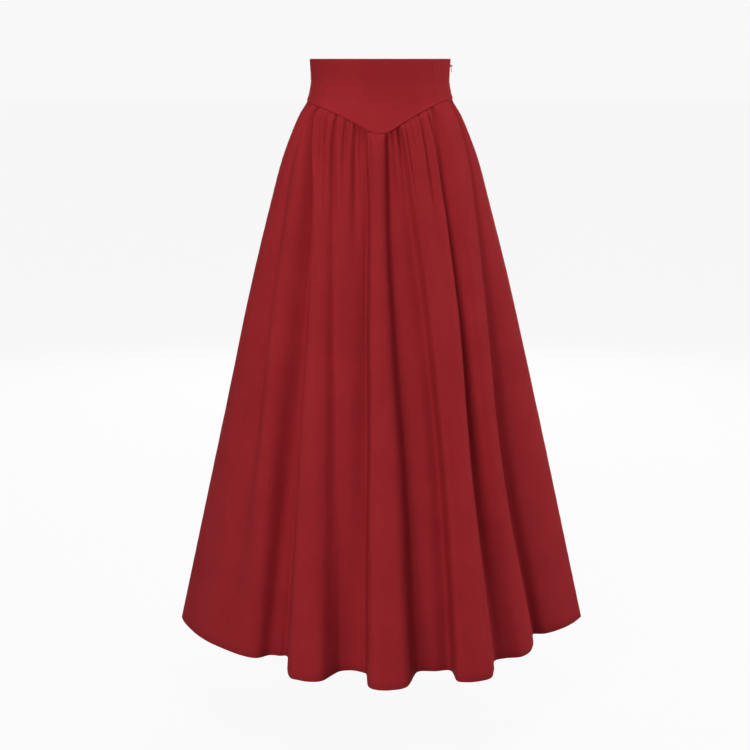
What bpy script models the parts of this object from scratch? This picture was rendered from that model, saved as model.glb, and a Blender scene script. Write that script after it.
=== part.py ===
"""Maxi skirt: a high waistband that dips to a point in front, a full skirt gathered onto it, and a concealed side zip.

Metres, +Z up. The front faces -Y and the wearer's left side, with the zip, is at +X.
The origin is the centre of the waist at its narrowest ring, where the wearer holds the skirt up.
The whole garment is measured on plain rings. A place on a ring is its "turn": 0 at the wearer's right
side seam, 0.5 at centre front, 1 at the left side seam, 1.5 at centre back and 2 at the right seam again.
"""

import math
from collections import namedtuple

import bmesh
import bpy
import numpy as np
from mathutils import Matrix

# Driving sizes
WAIST_TOP = 0.036  # the waistband's upper edge, above the narrowest ring
SKIRT_DROP = 1.0406  # plumb from the upper edge to the hem
SIDE_SEAM_DROP = 0.0705  # where the waistband ends at the side seams, below the upper edge
POINT_DROP = 0.1235  # where the waistband's point ends at centre front
POINT_ROUNDING = 0.005
SEAM_HALF_WIDTH = 0.1275
SEAM_GAP = 0.0004  # between two pieces at a seam

WAIST_WALL = 0.0020  # shell, interfacing and turned edge together
SKIRT_WALL = 0.0013
TAPE_WIDTH = 0.0115
TAPE_WALL = 0.0010
SLIDER_DROP = 0.0115  # the pull's pin, below the upper edge
SLIT_AT_SLIDER = 0.0018  # the seam is parted by the slider's neck
SLIT_CLOSES_OVER = 0.030  # and closes over this length below it

Ring = namedtuple("Ring", "drop side front back")
RINGS = [
    Ring(0.0000, 0.1224, 0.0880, 0.0865),
    Ring(0.0360, 0.1208, 0.0872, 0.0870),
    Ring(0.0560, 0.1236, 0.0890, 0.0900),
    Ring(0.0705, 0.1275, 0.0915, 0.0930),
    Ring(0.0950, 0.1418, 0.0985, 0.1030),
    Ring(0.1229, 0.1545, 0.1070, 0.1130),
    Ring(0.1750, 0.1743, 0.1210, 0.1310),
    Ring(0.2460, 0.1942, 0.1380, 0.1490),
    Ring(0.3900, 0.2320, 0.1650, 0.1760),
    Ring(0.6145, 0.2837, 0.2030, 0.2130),
    Ring(1.0406, 0.3810, 0.2700, 0.2800),
]

# A row for each place where the cloth turns, a crown where it stands out or a trough where it sinks.
# seam, knee and hem are its turn at the waist seam, at knee height and at the hem; seam_half and
# hem_half are half its flat; knee_out and hem_out are how far it stands out from the plain ring.
KNEE = 0.33
Turn = namedtuple("Turn", "name seam knee hem seam_half hem_half knee_out hem_out")
FRONT_FOLDS = [
    Turn("right_side", 0.000, 0.000, 0.000, 0.000, 0.000, -0.001, -0.002),
    Turn("right_panel", 0.100, 0.150, 0.165, 0.020, 0.075, 0.000, -0.022),
    Turn("right_crown", 0.162, 0.243, 0.278, 0.010, 0.012, 0.008, -0.021),
    Turn("right_trough", 0.194, 0.294, 0.322, 0.004, 0.017, -0.014, -0.053),
    Turn("first_flute", 0.272, 0.354, 0.398, 0.030, 0.022, 0.010, 0.025),
    Turn("first_step", 0.326, 0.386, 0.438, 0.008, 0.004, -0.006, -0.021),
    Turn("soft_wave", 0.385, 0.420, 0.453, 0.020, 0.009, 0.004, -0.024),
    Turn("second_trough", 0.444, 0.466, 0.476, 0.012, 0.003, -0.010, -0.018),
    Turn("centre_flute", 0.494, 0.502, 0.511, 0.020, 0.024, 0.015, 0.044),
    Turn("centre_step", 0.531, 0.534, 0.557, 0.007, 0.004, -0.012, -0.019),
    Turn("third_trough", 0.584, 0.598, 0.603, 0.012, 0.004, -0.008, -0.014),
    Turn("third_flute", 0.652, 0.652, 0.628, 0.050, 0.027, 0.008, 0.038),
    Turn("left_step", 0.728, 0.697, 0.698, 0.008, 0.008, -0.008, -0.026),
    Turn("left_wave", 0.790, 0.748, 0.748, 0.036, 0.020, 0.006, -0.013),
    Turn("left_trough", 0.872, 0.806, 0.848, 0.014, 0.008, -0.011, -0.066),
    Turn("left_panel", 0.930, 0.890, 0.925, 0.010, 0.015, 0.000, -0.026),
    Turn("left_side", 1.000, 1.000, 1.000, 0.000, 0.000, 0.001, 0.005),
]
BACK_FOLDS = [
    Turn("left_side", 1.000, 1.000, 1.000, 0.000, 0.000, 0.001, 0.005),
    Turn("back_panel_left", 1.070, 1.090, 1.085, 0.010, 0.020, 0.000, -0.012),
    Turn("back_trough_1", 1.160, 1.172, 1.168, 0.012, 0.012, -0.012, -0.036),
    Turn("back_flute_1", 1.245, 1.250, 1.252, 0.030, 0.020, 0.009, 0.016),
    Turn("back_trough_2", 1.322, 1.328, 1.338, 0.010, 0.010, -0.012, -0.030),
    Turn("back_flute_2", 1.400, 1.404, 1.412, 0.030, 0.021, 0.011, 0.030),
    Turn("back_trough_3", 1.478, 1.482, 1.487, 0.010, 0.012, -0.013, -0.026),
    Turn("back_flute_3", 1.556, 1.560, 1.562, 0.032, 0.022, 0.012, 0.032),
    Turn("back_trough_4", 1.640, 1.643, 1.640, 0.010, 0.011, -0.011, -0.030),
    Turn("back_flute_4", 1.722, 1.722, 1.718, 0.030, 0.019, 0.009, 0.018),
    Turn("back_trough_5", 1.806, 1.800, 1.800, 0.012, 0.012, -0.012, -0.036),
    Turn("back_wave", 1.868, 1.866, 1.872, 0.012, 0.016, 0.003, -0.012),
    Turn("right_side", 2.000, 2.000, 2.000, 0.000, 0.000, -0.001, -0.002),
]

# A row for each gather, a short furrow that starts at the waist seam. at is its turn there, run is how
# far down it goes as a share of the skirt, and deep and half are its depth and half-width.
Gather = namedtuple("Gather", "at run deep half")
FRONT_GATHERS = [
    Gather(0.192, 0.20, 0.0040, 0.012),
    Gather(0.256, 0.17, 0.0042, 0.012),
    Gather(0.290, 0.08, 0.0022, 0.009),
    Gather(0.318, 0.36, 0.0040, 0.010),
    Gather(0.361, 0.13, 0.0044, 0.011),
    Gather(0.393, 0.20, 0.0042, 0.009),
    Gather(0.417, 0.14, 0.0038, 0.009),
    Gather(0.461, 0.24, 0.0040, 0.010),
    Gather(0.495, 0.05, 0.0016, 0.008),
    Gather(0.526, 0.20, 0.0038, 0.009),
    Gather(0.550, 0.14, 0.0032, 0.008),
    Gather(0.576, 0.09, 0.0030, 0.009),
    Gather(0.604, 0.18, 0.0042, 0.010),
    Gather(0.640, 0.08, 0.0030, 0.010),
    Gather(0.672, 0.34, 0.0042, 0.011),
    Gather(0.706, 0.09, 0.0026, 0.009),
    Gather(0.732, 0.28, 0.0042, 0.010),
    Gather(0.762, 0.06, 0.0026, 0.010),
]
BACK_GATHERS = [
    Gather(1.240, 0.12, 0.0032, 0.012),
    Gather(1.281, 0.20, 0.0042, 0.012),
    Gather(1.318, 0.10, 0.0030, 0.010),
    Gather(1.362, 0.24, 0.0044, 0.012),
    Gather(1.405, 0.14, 0.0038, 0.011),
    Gather(1.441, 0.09, 0.0030, 0.010),
    Gather(1.484, 0.22, 0.0042, 0.012),
    Gather(1.524, 0.12, 0.0034, 0.010),
    Gather(1.561, 0.18, 0.0042, 0.012),
    Gather(1.606, 0.10, 0.0032, 0.011),
    Gather(1.645, 0.24, 0.0044, 0.012),
    Gather(1.684, 0.15, 0.0038, 0.011),
    Gather(1.727, 0.11, 0.0030, 0.012),
]
GATHER_SETS_IN = 0.016  # share of the skirt over which a gather reaches its depth
SEAM_SHARE = 0.30  # how much of its depth a gather has at the seam itself
PUFF = 0.0045  # how far the gathered cloth swells out under the seam
PUFF_ENDS = 0.30

# Mesh density
SKIRT_ROWS = (0.0, 0.010, 0.024, 0.044, 0.070, 0.102, 0.140, 0.195, 0.275, 0.385, 0.53, 0.75, 1.0)
GATHERED_STEP = 0.0078  # in turns
PLAIN_STEP = 0.021
WAIST_ROWS = 6
TAPE_SKIRT_ROWS = 7  # the tapes end at this row of the skirt
WAIST_STEP = 0.040
SETTLING_PASSES = 8  # a slanted panel edge and its drop are worked out from each other


def smooth_table(at, places, values):
    """A smooth curve through a table's points that never overshoots them (monotone cubic)."""
    x = np.asarray(places, float)
    y = np.asarray(values, float)
    step = np.diff(x)
    rise = np.diff(y) / step
    slope = np.zeros_like(y)
    same_way = rise[:-1] * rise[1:] > 0
    lean_a = 2 * step[1:] + step[:-1]
    lean_b = step[1:] + 2 * step[:-1]
    with np.errstate(divide="ignore", invalid="ignore"):
        middle = (lean_a + lean_b) / (lean_a / rise[:-1] + lean_b / rise[1:])
    slope[1:-1] = np.where(same_way, middle, 0.0)
    slope[0] = rise[0]
    slope[-1] = rise[-1]
    at = np.clip(np.asarray(at, float), x[0], x[-1])
    i = np.clip(np.searchsorted(x, at) - 1, 0, len(x) - 2)
    t = (at - x[i]) / step[i]
    return (
        y[i] * (1 + 2 * t) * (1 - t) ** 2
        + slope[i] * step[i] * t * (1 - t) ** 2
        + y[i + 1] * t * t * (3 - 2 * t)
        + slope[i + 1] * step[i] * t * t * (t - 1)
    )


def ring_sizes(drop, turn):
    """Half-width to the side, and half-depth to the front or back, of the plain ring at that drop."""
    drops = [r.drop for r in RINGS]
    side = smooth_table(drop, drops, [r.side for r in RINGS])
    front = smooth_table(drop, drops, [r.front for r in RINGS])
    back = smooth_table(drop, drops, [r.back for r in RINGS])
    return side, np.where(np.asarray(turn) <= 1.0, front, back)


def ring_place(turn, drop, out=0.0):
    """The point at a turn on the plain ring at that drop, moved straight out from the ring by out."""
    side, depth = ring_sizes(drop, turn)
    angle = np.pi * np.asarray(turn, float)
    x = -side * np.cos(angle)
    y = -depth * np.sin(angle)
    across_x = -depth * np.cos(angle)
    across_y = -side * np.sin(angle)
    length = np.hypot(across_x, across_y)
    return np.stack(
        [x + out * across_x / length, y + out * across_y / length, WAIST_TOP - np.asarray(drop) + 0 * x], -1
    )


def turn_for_width(width, drop):
    """How many turns a short width along the ring takes up, beside a side seam."""
    _, depth = ring_sizes(drop, 1.0)
    return width / (np.pi * depth)


def seam_drop(turn):
    """Drop of the waist seam: a shallow V in front, level behind."""
    turn = np.asarray(turn, float)
    sideways = SEAM_HALF_WIDTH * np.cos(np.pi * turn)
    eased = np.sqrt(sideways**2 + POINT_ROUNDING**2) - POINT_ROUNDING
    reach = math.sqrt(SEAM_HALF_WIDTH**2 + POINT_ROUNDING**2) - POINT_ROUNDING
    in_front = POINT_DROP - (POINT_DROP - SIDE_SEAM_DROP) * eased / reach
    return np.where(turn <= 1.0, in_front, SIDE_SEAM_DROP)


def slit_half_width(drop):
    """Half the gap along the zip: parted at the slider, closed further down."""
    closed = np.clip((drop - SLIDER_DROP) / SLIT_CLOSES_OVER, 0.0, 1.0)
    eased = closed * closed * (3 - 2 * closed)
    return SLIT_AT_SLIDER / 2 + (SEAM_GAP - SLIT_AT_SLIDER) / 2 * eased


def wall_from_grid(name, middle, normal, wall):
    """A closed wall of even thickness on both sides of a grid of points; axis 0 is down, axis 1 is across."""
    rows, columns = middle.shape[:2]
    outer = middle + normal * wall / 2
    inner = middle - normal * wall / 2
    points = np.concatenate([outer.reshape(-1, 3), inner.reshape(-1, 3)])
    half = rows * columns
    faces = []
    for i in range(rows - 1):
        for j in range(columns - 1):
            a = i * columns + j
            quad = (a, a + columns, a + columns + 1, a + 1)
            faces.append(quad)
            faces.append(tuple(half + k for k in reversed(quad)))
    top = [j for j in range(columns)]
    bottom = [(rows - 1) * columns + j for j in range(columns)]
    start = [i * columns for i in range(rows)]
    end = [i * columns + columns - 1 for i in range(rows)]
    for edge, forwards in ((top, True), (bottom, False), (start, False), (end, True)):
        for a, b in zip(edge, edge[1:]):
            quad = (a, b, half + b, half + a)
            faces.append(quad if forwards else tuple(reversed(quad)))
    mesh = bpy.data.meshes.new(name)
    mesh.from_pydata([tuple(p) for p in points], [], faces)
    mesh.update()
    obj = bpy.data.objects.new(name, mesh)
    bpy.context.scene.collection.objects.link(obj)
    split_quads(mesh)
    mesh.shade_smooth()
    mesh.set_sharp_from_angle(angle=math.radians(50))
    return obj


def split_quads(mesh):
    """Twisted four-sided faces become triangles, and the faces are turned to point out."""
    work = bmesh.new()
    work.from_mesh(mesh)
    bmesh.ops.triangulate(work, faces=work.faces, quad_method="SHORT_EDGE")
    bmesh.ops.recalc_face_normals(work, faces=work.faces)
    work.to_mesh(mesh)
    work.free()


def grid_normals(middle):
    """Outward unit normals of a grid of points, from its own rows and columns."""
    down = np.gradient(middle, axis=0)
    across = np.gradient(middle, axis=1)
    normal = np.cross(down, across)
    return normal / np.linalg.norm(normal, axis=-1, keepdims=True)


def level(normal):
    """The same normals with no slope, so that two pieces meet squarely at a seam."""
    flat = normal * np.array([1.0, 1.0, 0.0])
    return flat / np.linalg.norm(flat, axis=-1, keepdims=True)


def material(name, colour, roughness, metallic=0.0):
    made = bpy.data.materials.new(name)
    made.use_nodes = True
    shader = made.node_tree.nodes["Principled BSDF"]
    shader.inputs["Base Color"].default_value = (*colour, 1.0)
    shader.inputs["Roughness"].default_value = roughness
    shader.inputs["Metallic"].default_value = metallic
    return made


# Waistband
def waist_panel(name, starts, ends, cloth):
    """One waistband panel between two seam lines, each a function that gives its turn at a drop."""
    middle_drop = SIDE_SEAM_DROP / 2
    columns = max(6, round(float(ends(middle_drop) - starts(middle_drop)) / WAIST_STEP))
    across = np.linspace(0.0, 1.0, columns + 1)
    down = np.linspace(0.0, 1.0, WAIST_ROWS + 1)
    share, fall = np.meshgrid(across, down)
    turn = starts(0.0) + (ends(0.0) - starts(0.0)) * share
    for _ in range(SETTLING_PASSES):
        drop = fall * (seam_drop(turn) - SEAM_GAP / 2)
        turn = starts(drop) + (ends(drop) - starts(drop)) * share
    middle = ring_place(turn, drop)
    normal = level(grid_normals(middle))
    obj = wall_from_grid(name, middle, normal, WAIST_WALL)
    obj.data.materials.append(cloth)
    return obj


def princess_seam(top, bottom):
    """A panel seam that runs down the front of the waistband, given by its x at the upper edge and the waist seam."""

    def turn_at(drop):
        drop = np.asarray(drop, float)
        x = top + (bottom - top) * drop / SIDE_SEAM_DROP
        return np.arccos(-x / ring_sizes(drop, 0.5)[0]) / np.pi

    return turn_at


def side_seam(turn):
    """A side seam stays at one turn all the way down."""
    return lambda drop: turn + 0.0 * np.asarray(drop, float)


def beside(line, side):
    """The edge of the cloth beside a seam line: half the seam gap to one side of it."""
    return lambda drop: line(drop) + side * turn_for_width(SEAM_GAP / 2, drop)


def beside_zip(side):
    """The edge of the cloth beside the zip's slit, at the left side seam."""
    return lambda drop: 1.0 + side * turn_for_width(slit_half_width(drop), drop)


def make_waistband(cloth):
    right_seam = princess_seam(-0.0958, -0.1010)
    left_seam = princess_seam(0.0873, 0.0933)
    waist_panel("waist_front", beside(right_seam, 1), beside(left_seam, -1), cloth)
    waist_panel("waist_side_right", beside(side_seam(0.0), 1), beside(right_seam, -1), cloth)
    waist_panel("waist_side_left", beside(left_seam, 1), beside_zip(-1), cloth)
    waist_panel("waist_back", beside_zip(1), beside(side_seam(2.0), -1), cloth)


# Skirt
def knots_of(folds):
    """Each fold row's two ends of its flat, as (seam, knee, hem, knee_out, hem_out)."""
    knots = []
    for row in folds:
        for side in (-1, 1):
            seam_half = side * row.seam_half
            hem_half = side * row.hem_half
            knee_half = (seam_half + hem_half) / 2
            knot = (row.seam + seam_half, row.knee + knee_half, row.hem + hem_half, row.knee_out, row.hem_out)
            if row.seam_half > 0 or side < 0:
                knots.append(knot)
    return np.array(knots)


def through_knots(values, index, share):
    """Catmull-Rom curve through a column of values; index is the interval and share the place in it."""
    padded = np.concatenate([[2 * values[0] - values[1]], values, [2 * values[-1] - values[-2]]])
    before, start, end, after = (padded[index + k] for k in range(4))
    return 0.5 * (
        2 * start
        + (end - before) * share
        + (2 * before - 5 * start + 4 * end - after) * share**2
        + (3 * start - before - 3 * end + after) * share**3
    )


def skirt_columns(knots, gathers):
    """Columns of the panel as (interval, share), closer together where the cloth is gathered."""
    first = gathers[0].at - 2 * gathers[0].half
    last = gathers[-1].at + 2 * gathers[-1].half
    index, share = [], []
    for k in range(len(knots) - 1):
        a, b = knots[k][0], knots[k + 1][0]
        step = GATHERED_STEP if b > first and a < last else PLAIN_STEP
        count = max(2, math.ceil((b - a) / step))
        index += [k] * count
        share += [i / count for i in range(count)]
    index.append(len(knots) - 2)
    share.append(1.0)
    return np.array(index), np.array(share)


def gather_depth(turn, fall, gathers):
    """How far the gathers draw the cloth in, and how far it swells out between them."""
    zone_start = smooth_step((turn - gathers[0].at + 0.03) / 0.04)
    zone_end = smooth_step((gathers[-1].at + 0.04 - turn) / 0.06)
    sets_in = 1 - np.exp(-fall / GATHER_SETS_IN)
    swell = PUFF * zone_start * zone_end * sets_in * np.clip(1 - fall / PUFF_ENDS, 0, 1) ** 1.5
    drawn = np.zeros_like(turn)
    for g in gathers:
        left = np.clip(1 - fall / g.run, 0, 1)
        drawn += g.deep * np.exp(-(((turn - g.at) / g.half) ** 2)) * (SEAM_SHARE + (1 - SEAM_SHARE) * sets_in) * smooth_step(left)
    return swell - drawn


def smooth_step(x):
    x = np.clip(x, 0.0, 1.0)
    return x * x * (3 - 2 * x)


def skirt_panel(name, folds, gathers, edge_start, edge_end, cloth):
    """One skirt panel, from the waist seam to the hem and from side seam to side seam."""
    knots = knots_of(folds)
    index, share = skirt_columns(knots, gathers)
    at_seam = through_knots(knots[:, 0], index, share)
    middle = []
    for fall in SKIRT_ROWS:
        turns = [smooth_table(fall, (0.0, KNEE, 1.0), knot[:3]) for knot in knots]
        outs = [smooth_table(fall, (0.0, KNEE, 1.0), (0.0, *knot[3:])) for knot in knots]
        turn = through_knots(np.array(turns), index, share)
        out = through_knots(np.array(outs), index, share)
        out = out + gather_depth(at_seam, fall, gathers)
        start = seam_drop(turn) + SEAM_GAP / 2
        drop = start + (SKIRT_DROP - start) * fall
        turn[0] = edge_start(drop[0])
        turn[-1] = edge_end(drop[-1])
        middle.append(ring_place(turn, drop, out))
    middle = np.array(middle)
    normal = grid_normals(middle)
    normal[0] = level(normal[0])
    normal[-1] = level(normal[-1])
    for column, sideways in ((0, folds[0].seam), (-1, folds[-1].seam)):
        normal[:, column] = (-math.cos(math.pi * sideways), 0.0, 0.0)
    obj = wall_from_grid(name, middle, normal, SKIRT_WALL)
    obj.data.materials.append(cloth)
    return obj


def make_skirt(cloth):
    plain_right = beside(side_seam(0.0), 1)
    plain_right_back = beside(side_seam(2.0), -1)
    skirt_panel("skirt_front", FRONT_FOLDS, FRONT_GATHERS, plain_right, beside_zip(-1), cloth)
    skirt_panel("skirt_back", BACK_FOLDS, BACK_GATHERS, beside_zip(1), plain_right_back, cloth)


# Zip
TAPE_SINK = WAIST_WALL / 2 + 0.0004 + TAPE_WALL / 2  # the tape's middle, inside the ring
TAPE_START = 0.0020
SLIDER_BODY = (0.0026, 0.0056, 0.0090)  # through, across and along the zip
NECK_WIDTH = 0.0010
NECK_HEIGHT = 0.0034
PIN_OUT = 0.0030  # the pull's pin stands this far out of the waistband's middle
LOOP_OUTER = 0.0021
LOOP_INNER = 0.0011
PULL_WALL = 0.0009
PULL_LENGTH = 0.0112
PULL_HALF_WIDTH = 0.0019
PULL_WINDOW = 0.0010  # half-width of the window that the loop passes through
PULL_WINDOW_LENGTH = 0.0032


def zip_tape(name, side, cloth):
    """One of the two tapes behind the side seam."""
    waist_drops = [SIDE_SEAM_DROP * i / WAIST_ROWS for i in range(1, WAIST_ROWS)]
    skirt_drops = [
        SIDE_SEAM_DROP + (SKIRT_DROP - SIDE_SEAM_DROP) * fall for fall in SKIRT_ROWS[:TAPE_SKIRT_ROWS]
    ]
    drops = [TAPE_START] + waist_drops + skirt_drops
    middle = []
    for drop in drops:
        near = turn_for_width(SLIT_AT_SLIDER / 2, drop)
        far = turn_for_width(TAPE_WIDTH, drop)
        across = np.linspace(near, far, 3)
        turn = 1.0 + side * (across if side > 0 else across[::-1])
        middle.append(ring_place(turn, drop + 0 * turn, -TAPE_SINK))
    middle = np.array(middle)
    obj = wall_from_grid(name, middle, grid_normals(middle), TAPE_WALL)
    obj.data.materials.append(cloth)
    return obj


def outline_plate(name, outlines, wall, place, facing):
    """A flat plate cut from closed outlines, the first its edge and the rest its holes, facing a direction."""
    curve = bpy.data.curves.new(name, "CURVE")
    curve.dimensions = "2D"
    curve.fill_mode = "BOTH"
    curve.extrude = wall / 2
    for outline in outlines:
        spline = curve.splines.new("POLY")
        spline.points.add(len(outline) - 1)
        for point, (u, v) in zip(spline.points, outline):
            point.co = (u, v, 0.0, 1.0)
        spline.use_cyclic_u = True
    drawn = bpy.data.objects.new(name + "_outline", curve)
    bpy.context.scene.collection.objects.link(drawn)
    bpy.context.view_layer.update()
    mesh = bpy.data.meshes.new_from_object(drawn.evaluated_get(bpy.context.evaluated_depsgraph_get()))
    bpy.data.objects.remove(drawn)
    mesh.name = name
    plate = bpy.data.objects.new(name, mesh)
    bpy.context.scene.collection.objects.link(plate)
    plate.location = place
    plate.rotation_euler = facing
    work = bmesh.new()
    work.from_mesh(mesh)
    bmesh.ops.remove_doubles(work, verts=work.verts, dist=1e-6)
    bmesh.ops.recalc_face_normals(work, faces=work.faces)
    work.to_mesh(mesh)
    work.free()
    return plate


def circle(centre, radius, count):
    return [
        (centre[0] + radius * math.cos(2 * math.pi * i / count), centre[1] + radius * math.sin(2 * math.pi * i / count))
        for i in range(count)
    ]


def pin_place():
    """The centre of the pull's pin, where the pull hinges on the slider's loop."""
    edge = ring_place(1.0, SLIDER_DROP)
    return float(edge[0]) + PIN_OUT, 0.0, float(edge[2])


def make_slider(metal):
    """The slider: a body behind the tapes, a thin neck through the slit and a loop outside for the pull."""
    pin_x, _, pin_z = pin_place()
    ring_x = pin_x - PIN_OUT
    body_x = ring_x - TAPE_SINK - TAPE_WALL / 2 - 0.0004 - SLIDER_BODY[0] / 2
    bpy.ops.mesh.primitive_cube_add(size=1.0)
    body = bpy.context.object
    body.name = "zip_slider"
    body.data.transform(diagonal(SLIDER_BODY))
    body.location = (body_x, 0.0, pin_z - 0.0015)
    bevel = body.modifiers.new("rounded", "BEVEL")
    bevel.width = 0.0006
    bevel.segments = 2
    neck_start = body_x - pin_x
    half = NECK_HEIGHT / 2
    meet = math.sqrt(LOOP_OUTER**2 - half**2)
    steps = 14
    first = math.pi - math.asin(half / LOOP_OUTER)
    arc = [
        (
            LOOP_OUTER * math.cos(first - 2 * first * i / steps),
            LOOP_OUTER * math.sin(first - 2 * first * i / steps),
        )
        for i in range(steps + 1)
    ]
    outline = [(neck_start, -half), (neck_start, half), (-meet, half)] + arc[1:-1] + [(-meet, -half)]
    hole = circle((0.0, 0.0), LOOP_INNER, 14)
    neck = outline_plate("neck", [outline, hole], NECK_WIDTH, (pin_x, 0.0, pin_z), (math.pi / 2, 0.0, 0.0))
    neck.hide_render = True
    neck.display_type = "WIRE"
    join = body.modifiers.new("neck", "BOOLEAN")
    join.operation = "UNION"
    join.solver = "EXACT"
    join.object = neck
    body.data.materials.append(metal)
    return body


def diagonal(sizes):
    """A scaling matrix that is applied to a mesh's own points."""
    return Matrix.Diagonal((*sizes, 1.0))


def make_pull(metal):
    """The pull: a small drop-shaped tab whose top bar is the pin, with a window for the slider's loop."""
    top = PULL_WALL / 2
    shoulder = -PULL_WINDOW_LENGTH - top
    bulge = PULL_LENGTH - PULL_HALF_WIDTH
    tip = [
        (PULL_HALF_WIDTH * math.cos(a), -bulge + PULL_HALF_WIDTH * math.sin(a))
        for a in (-math.pi * i / 10 for i in range(11))
    ]
    edge = [(-PULL_HALF_WIDTH, top), (PULL_HALF_WIDTH, top)]
    waist = [(PULL_HALF_WIDTH * 0.8, shoulder - 0.001)]
    outline = edge + waist + tip + [(-x, y) for x, y in waist]
    window = [
        (-PULL_WINDOW, -top),
        (-PULL_WINDOW, -PULL_WINDOW_LENGTH),
        (PULL_WINDOW, -PULL_WINDOW_LENGTH),
        (PULL_WINDOW, -top),
    ]
    pull = outline_plate(
        "zip_pull", [outline, window], PULL_WALL, pin_place(), (math.pi / 2, 0.0, math.pi / 2)
    )
    pull.data.materials.append(metal)
    return pull


def make_zip(tape_cloth, metal):
    zip_tape("zip_tape_front", -1, tape_cloth)
    zip_tape("zip_tape_back", 1, tape_cloth)
    make_slider(metal)
    make_pull(metal)


def main():
    for obj in list(bpy.data.objects):
        bpy.data.objects.remove(obj, do_unlink=True)
    cloth = material("crimson_cloth", (0.300, 0.017, 0.024), 0.78)
    tape_cloth = material("zip_tape_red", (0.250, 0.014, 0.020), 0.85)
    metal = material("zip_metal", (0.230, 0.030, 0.035), 0.35, 0.6)
    make_waistband(cloth)
    make_skirt(cloth)
    make_zip(tape_cloth, metal)


main()
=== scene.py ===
import math
from collections import namedtuple

import bpy
import numpy as np
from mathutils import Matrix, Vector, noise


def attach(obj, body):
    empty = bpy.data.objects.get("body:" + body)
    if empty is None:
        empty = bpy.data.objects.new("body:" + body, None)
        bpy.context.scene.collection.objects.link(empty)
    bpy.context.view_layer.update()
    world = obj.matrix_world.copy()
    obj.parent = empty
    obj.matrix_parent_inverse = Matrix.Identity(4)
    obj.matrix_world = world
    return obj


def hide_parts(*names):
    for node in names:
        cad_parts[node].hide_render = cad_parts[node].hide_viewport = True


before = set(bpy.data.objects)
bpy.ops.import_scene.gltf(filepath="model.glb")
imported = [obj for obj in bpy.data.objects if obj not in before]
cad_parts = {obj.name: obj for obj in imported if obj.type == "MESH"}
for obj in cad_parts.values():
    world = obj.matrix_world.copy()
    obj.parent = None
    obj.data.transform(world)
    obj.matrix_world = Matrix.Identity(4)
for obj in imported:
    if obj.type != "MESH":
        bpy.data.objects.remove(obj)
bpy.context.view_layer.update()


# The waistband: four shaped panels of the skirt's own cloth, stiffened with interfacing, seamed at the
# side fronts and at the right side. It is fitted to the waist, flares below it, and is turned in along
# its upper edge. A place round the body is a turn: 0 right side, 0.5 centre front, 1 left side, 1.5 back.
WAIST_TOP = 0.036
SIDE_DROP = 0.0705
BAND_WALL = 0.0012
SEAM_ROLL = 0.0010

# The plain round of waistband and skirt: at each drop below the upper edge, half its width from side to
# side, and its depth in front and behind.
Girth = namedtuple("Girth", "drop side front back")
GIRTHS = [
    Girth(0.0000, 0.1224, 0.0880, 0.0865),
    Girth(0.0360, 0.1208, 0.0872, 0.0870),
    Girth(0.0560, 0.1236, 0.0890, 0.0900),
    Girth(0.0705, 0.1275, 0.0915, 0.0930),
    Girth(0.0950, 0.1418, 0.0985, 0.1030),
    Girth(0.1229, 0.1545, 0.1070, 0.1130),
    Girth(0.1750, 0.1743, 0.1210, 0.1310),
    Girth(0.2460, 0.1942, 0.1380, 0.1490),
    Girth(0.3900, 0.2320, 0.1650, 0.1760),
    Girth(0.6145, 0.2837, 0.2030, 0.2130),
    Girth(1.0406, 0.3810, 0.2700, 0.2800),
]

# The waist seam's drop below the upper edge, round the body: a point in front, nearly level behind.
SeamPoint = namedtuple("SeamPoint", "turn drop")
WAIST_SEAM = [
    SeamPoint(0.000, 0.0705),
    SeamPoint(0.210, 0.0800),
    SeamPoint(0.330, 0.0930),
    SeamPoint(0.410, 0.1075),
    SeamPoint(0.470, 0.1208),
    SeamPoint(0.485, 0.1230),
    SeamPoint(0.500, 0.1237),
    SeamPoint(0.515, 0.1230),
    SeamPoint(0.535, 0.1197),
    SeamPoint(0.580, 0.1082),
    SeamPoint(0.640, 0.0947),
    SeamPoint(0.720, 0.0811),
    SeamPoint(0.840, 0.0708),
    SeamPoint(1.000, 0.0680),
    SeamPoint(1.500, 0.0690),
    SeamPoint(2.000, 0.0705),
]


def eased(x):
    x = np.clip(x, 0.0, 1.0)
    return x * x * (3 - 2 * x)


def fair_curve(at, places, values):
    """A smooth curve through a table's points that never overshoots them."""
    x = np.asarray(places, float)
    y = np.asarray(values, float)
    step = np.diff(x)
    rise = np.diff(y) / step
    slope = np.zeros_like(y)
    lean_a = 2 * step[1:] + step[:-1]
    lean_b = step[1:] + 2 * step[:-1]
    with np.errstate(divide="ignore", invalid="ignore"):
        middle = (lean_a + lean_b) / (lean_a / rise[:-1] + lean_b / rise[1:])
    slope[1:-1] = np.where(rise[:-1] * rise[1:] > 0, middle, 0.0)
    slope[0] = rise[0]
    slope[-1] = rise[-1]
    at = np.clip(np.asarray(at, float), x[0], x[-1])
    i = np.clip(np.searchsorted(x, at) - 1, 0, len(x) - 2)
    t = (at - x[i]) / step[i]
    return (
        y[i] * (1 + 2 * t) * (1 - t) ** 2
        + slope[i] * step[i] * t * (1 - t) ** 2
        + y[i + 1] * t * t * (3 - 2 * t)
        + slope[i + 1] * step[i] * t * t * (t - 1)
    )


def girth(drop, turn):
    drops = [g.drop for g in GIRTHS]
    side = fair_curve(drop, drops, [g.side for g in GIRTHS])
    front = fair_curve(drop, drops, [g.front for g in GIRTHS])
    back = fair_curve(drop, drops, [g.back for g in GIRTHS])
    return side, np.where(np.asarray(turn) <= 1.0, front, back)


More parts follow.
